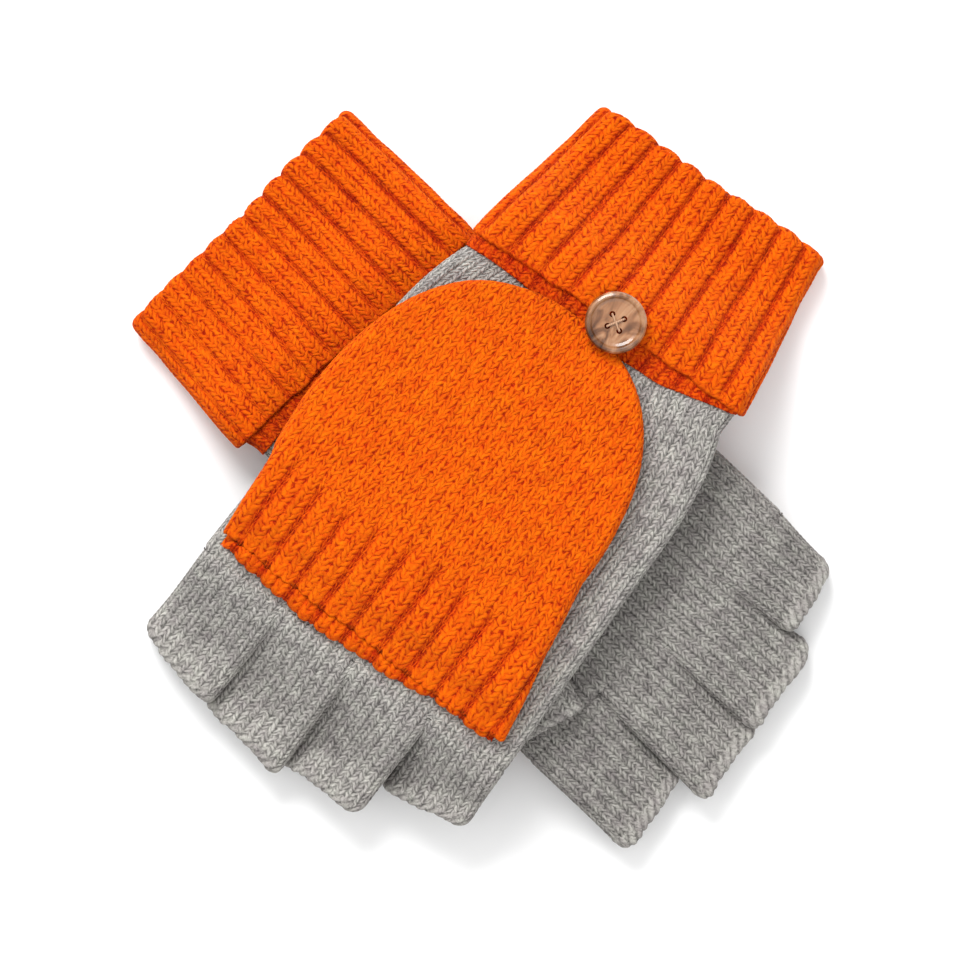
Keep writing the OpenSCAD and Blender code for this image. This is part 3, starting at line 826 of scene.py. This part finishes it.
def flap(g):
    """Mitten flap: a pocket with a ribbed mouth at the knuckles and a round tip."""
    wall = 1.7
    step = ROW_STEP
    y_out = list(spaced(Y_HINGE + 0.9, 30.0, step))
    tip = Y_TIP - 0.05
    n_tip = int(26 / step)
    y_out += [30 + (tip - 30) * math.sin(math.pi / 2 * k / n_tip) for k in range(1, n_tip + 1)]
    rows = [(Y_HINGE + 3.0, wall)]
    for k in range(0, 6):
        t = math.pi * (1 - k / 6)
        rows.append((Y_HINGE + 0.9 * (1 - math.sin(t)), wall / 2 * (1 - math.cos(t))))
    rows += [(y, 0.0) for y in y_out]
    rows += [(min(y, Y_TIP - wall - 1.5), wall) for y in spaced(Y_TIP - 3.3, Y_HINGE + 6, 5.0)]
    rows = np.array(rows)
    y, inset = rows[:, 0:1], rows[:, 1:2]
    left, right = flap_edges(g, y)
    xc, a = (left + right) / 2, np.maximum((right - left) / 2 - inset, 0.4)
    b0 = FLAP_T / 2 - 0.1
    near = clip((y - (Y_TIP - b0 * 1.6)) / (b0 * 1.6))
    b = np.maximum(b0 * np.sqrt(1 - near**2 * 0.995) - inset, 0.12)
    zc = Z_FLAP[g] + 0 * y
    cols = columns(HALF[g] * 0.9, b0, FINE, 0.85)
    arc_n = cols[None, :]
    arc = arc_n * perimeter(a, b) / 2
    x, z = section(xc, zc, a, b, arc)
    p = np.stack([x, y + 0 * x, z], -1)
    y = p[..., 1]
    ribbed = 1 - ease((y + 34.5 + 2.5 * drift(x, 0 * x, 10.0, 36)) / 6.0)
    across = xc + arc
    pitch = mix(RIB_PITCH, RIB_PITCH * 0.94, ease((y + 30) / 35))
    rho = (across - RIB_START) / pitch + 0.05 * drift(x, y, 16.0, 31)
    u = rib_columns(rho, mix(1 / 6, 0.07, ribbed))
    v = y / ROW_FLAP + 0.3 * drift(x, y, 24.0, 32) + 0.12 * drift(x, y, 6.0, 33)
    h = stitches(u, v)
    dome = rib_dome(rho)
    low_edge = 1 - ease((y - Y_HINGE - 1.0) / 4.0)
    rib_depth = (1 - dome) * mix(1.7, 1.2, low_edge) - 0.3
    depth = (1 - h) * 0.55 + rib_depth * ribbed + 0.25 * drift(x, y, 13.0, 35)
    out = outward(x, xc, a, b, np.where(y < Y_HINGE + 0.9, -0.9, 6 * near**2), z - zc)
    n = normals(p, out)
    outer = inset < wall - 0.01
    p = p - n * np.where(outer, depth, 0)[..., None]
    p[..., 1] += (0.7 * drift(x, 0 * x, 8.0, 37) + 0.5 * (1 - dome) - 0.8 * scallop(u)) * low_edge
    # the loop draws the tip down flat under the button
    d = np.hypot(p[..., 0] - BUTTON_X, p[..., 1] - Y_BUTTON)
    keep = mix(0.40, 1.0, ease((d - 9.0) / 14.0)) * mix(0.42, 1.0, ease((y - Y_HINGE + 0.5) / 13.0))
    base = Z_FLAP[g] - BACK[g] * b0
    p[..., 2] = base + (p[..., 2] - base) * keep
    if g == "left":
        p[..., 2] = np.maximum(p[..., 2], FLOOR_GAP)
    # relief value: painted shade in the rib grooves and stitch hollows, and dark on the inner skin
    relief_shade = (0.4 + 0.6 * h) * mix(1.0, clip(0.4 + 0.8 * dome), ribbed)
    obj = sheet_mesh(f"{g}_flap_knit", placed(g, p), np.stack([u, v], -1),
                     {"relief_shade": np.where(outer, clip(relief_shade), 0.15), "plain": 0.25 * low_edge})
    finish_piece(obj, ORANGE, f"{g}_flap", [f"{g}_flap_cap", f"{g}_flap_rib"])


# ---------------------------------------------------------------- seam of the flap
# half the width of the seam at places across the hand
SEAM_X = (-48, -40, -24, -8, 8, 24, 40)
SEAM_WIDTH = (1.4, 2.4, 3.7, 3.7, 2.9, 1.6, 1.0)
SEAM_ENDS = (-0.93, 0.84)  # as parts of the half width


def seam(g):
    """Orange band of the linked seam, knitted on to the hand just past the ribbed edge."""
    x_start, x_end = SEAM_ENDS[0] * HALF[g], SEAM_ENDS[1] * HALF[g]
    xs = spaced(x_start, x_end, FINE)[None, :]
    wide = np.interp(xs, SEAM_X, SEAM_WIDTH) + 0.5 * drift(xs, 0 * xs, 6.0, 42)
    turn = math.pi * np.linspace(0, 1, 19)[:, None]
    rho = (xs - RIB_START) / RIB_PITCH + 0 * turn
    dome = rib_dome(rho)
    u = rib_columns(rho, 0.07)
    x = xs + 0 * turn
    ragged = (0.8 * (1 - dome) - 0.8 * scallop(u)) * ease(np.cos(turn) + 0.5)
    y = Y_HINGE - 0.2 - wide * (0.45 + np.cos(turn)) + ragged
    v = y / ROW_FLAP
    h = stitches(u, v)
    top = HAND_T / 2 - 0.2
    ends = ease((x - x_start) / 3.5) * ease((x_end - x) / 3.5)
    bulge = 3.3 + 0.6 * drift(x, y, 5.0, 43)
    rise = (0.25 + bulge * np.sin(turn) * (0.55 + 0.45 * h) * (0.6 + 0.4 * dome)) * ends
    p = np.stack([x, y, Z_HAND[g] + BACK[g] * (top + rise)], -1)
    low = p[::-1][1:-1].copy()
    low[..., 2] = Z_HAND[g] + BACK[g] * (top - 0.3)
    count = np.stack([u, v], -1)
    count = np.concatenate([count, count[::-1][1:-1]], 0)
    # relief value: painted shade in the grooves of the ribs and the hollows of the stitches, the
    # whole seam a little darker
    relief_shade = 0.92 * (0.4 + 0.6 * h) * clip(0.3 + 0.8 * dome)
    relief_shade = np.concatenate([relief_shade, relief_shade[::-1][1:-1]], 0)
    obj = sheet_mesh(f"{g}_flap_seam_knit", placed(g, np.concatenate([p, low], 0)), count,
                     {"relief_shade": relief_shade, "plain": 0.3}, wrap_u=False)
    finish_piece(obj, ORANGE, f"{g}_glove", [f"{g}_flap_seam"])


# ---------------------------------------------------------------- elastic loop
def loop(g):
    """Two-ply elastic loop from under the flap's tip to round the button's shank."""
    r, thick, ply_turn = 3.0, 0.72, 2.6
    pts = []
    y_end = 43.0
    for k in range(25):
        pts.append((r, mix(y_end, Y_BUTTON, k / 24)))
    for k in range(1, 40):
        t = math.pi * k / 40
        pts.append((r * math.cos(t), Y_BUTTON + r * math.sin(t)))
    for k in range(25):
        pts.append((-r, mix(Y_BUTTON, y_end, k / 24)))
    pts = np.array(pts)
    tan = np.gradient(pts, axis=0)
    tan /= np.linalg.norm(tan, axis=1, keepdims=True)
    side = np.stack([tan[:, 1], -tan[:, 0]], -1)
    run = np.concatenate([[0], np.cumsum(np.linalg.norm(np.diff(pts, axis=0), axis=1))])
    th = np.linspace(0, 2 * math.pi, 18, endpoint=False)[None, :]
    ply = np.cos(2 * th + run[:, None] * 2 * math.pi / ply_turn)
    rad = thick * (0.86 + 0.14 * ply)
    zc = Z_HAND[g] + BACK[g] * (CUFF_T / 2 + 1.15)
    x = BUTTON_X + pts[:, :1] + side[:, :1] * rad * np.cos(th)
    y = pts[:, 1:] + side[:, 1:] * rad * np.cos(th)
    z = zc + rad * np.sin(th)
    p = np.stack([x, y, z], -1)
    uv = np.stack([np.broadcast_to(th, x.shape), np.broadcast_to(run[:, None], x.shape)], -1)
    # relief value: painted shade between the two plies
    obj = sheet_mesh(f"{g}_loop_cord", placed(g, p), uv,
                     {"relief_shade": 0.75 + 0.25 * ply, "plain": 1.0}, wrap_v=False)
    finish_piece(obj, ORANGE, f"{g}_flap", [f"{g}_loop"])


for glove in ("right", "left"):
    hand(glove)
    for finger in ("index", "middle", "ring", "little"):
        stub(glove, finger)
    thumb(glove)
    cuff_turnup(glove)
    cuff_inner(glove)
    flap(glove)
    seam(glove)
    loop(glove)
    for node, mat in ((f"{glove}_button", HORN), (f"{glove}_button_thread", TWINE)):
        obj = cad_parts[node]
        obj.data.materials.clear()
        obj.data.materials.append(mat)


# ---------------------------------------------------------------- floor, light and camera
def paper(name, colour, rough):
    """Plain matt material, very slightly uneven."""
    mat, nodes, links, bsdf = tree(name)
    noise = nodes.new("ShaderNodeTexNoise")
    noise.inputs["Scale"].default_value = 3.0
    cols = ramp(nodes, [(0.3, tuple(c * 0.985 for c in colour)), (0.7, colour)])
    links.new(noise.outputs["Fac"], cols.inputs["Fac"])
    links.new(cols.outputs["Color"], bsdf.inputs["Base Color"])
    bsdf.inputs["Roughness"].default_value = rough
    return mat


bpy.ops.mesh.primitive_plane_add(size=6.0, location=(0, 0, 0))
floor = bpy.context.object
floor.name = "floor"
floor.data.materials.append(paper("white_paper", (0.93, 0.93, 0.93), 0.9))

world = bpy.data.worlds.new("studio")
bpy.context.scene.world = world
world.use_nodes = True
sky = world.node_tree.nodes["Background"]
sky.inputs["Strength"].default_value = 1.04
where = world.node_tree.nodes.new("ShaderNodeTexCoord")
tall = world.node_tree.nodes.new("ShaderNodeSeparateXYZ")
world.node_tree.links.new(where.outputs["Generated"], tall.inputs[0])
dome_light = ramp(world.node_tree.nodes, [(0.0, (0.35, 0.35, 0.35)), (0.35, (0.8, 0.8, 0.8)),
                                          (0.8, (1, 1, 1))])
world.node_tree.links.new(tall.outputs["Z"], dome_light.inputs["Fac"])
world.node_tree.links.new(dome_light.outputs["Color"], sky.inputs["Color"])
bpy.context.scene.view_settings.view_transform = "Standard"


def softbox(name, place, aim, size, power):
    light = bpy.data.lights.new(name, "AREA")
    light.shape = "RECTANGLE"
    light.size, light.size_y = size
    light.energy = power
    obj = bpy.data.objects.new(name, light)
    bpy.context.collection.objects.link(obj)
    obj.location = place
    d = np.array(aim) - np.array(place)
    d = d / np.linalg.norm(d)
    obj.rotation_euler = (math.acos(-d[2]), 0, math.atan2(d[1], d[0]) - math.pi / 2)


softbox("key", (-0.85, 0.62, 1.0), (0, 0, 0), (0.7, 0.7), 21)
softbox("fill", (0.9, -0.5, 0.9), (0, 0, 0), (1.2, 1.2), 3)

# straight down on the pair, in metres
TURN = math.atan2(0.6, 0.8)
VIEW_CENTRE = (-0.0004, -0.0041)
VIEW_WIDTH = 0.271
DISTANCE, SUBJECT_HEIGHT = 1.6, 0.03
cam_data = bpy.data.cameras.new("camera")
cam_data.sensor_width = 36.0
cam_data.lens = cam_data.sensor_width * (DISTANCE - SUBJECT_HEIGHT) / VIEW_WIDTH
camera = bpy.data.objects.new("camera", cam_data)
bpy.context.collection.objects.link(camera)
camera.location = (*VIEW_CENTRE, DISTANCE)
camera.rotation_euler = (0, 0, TURN)
bpy.context.scene.camera = camera
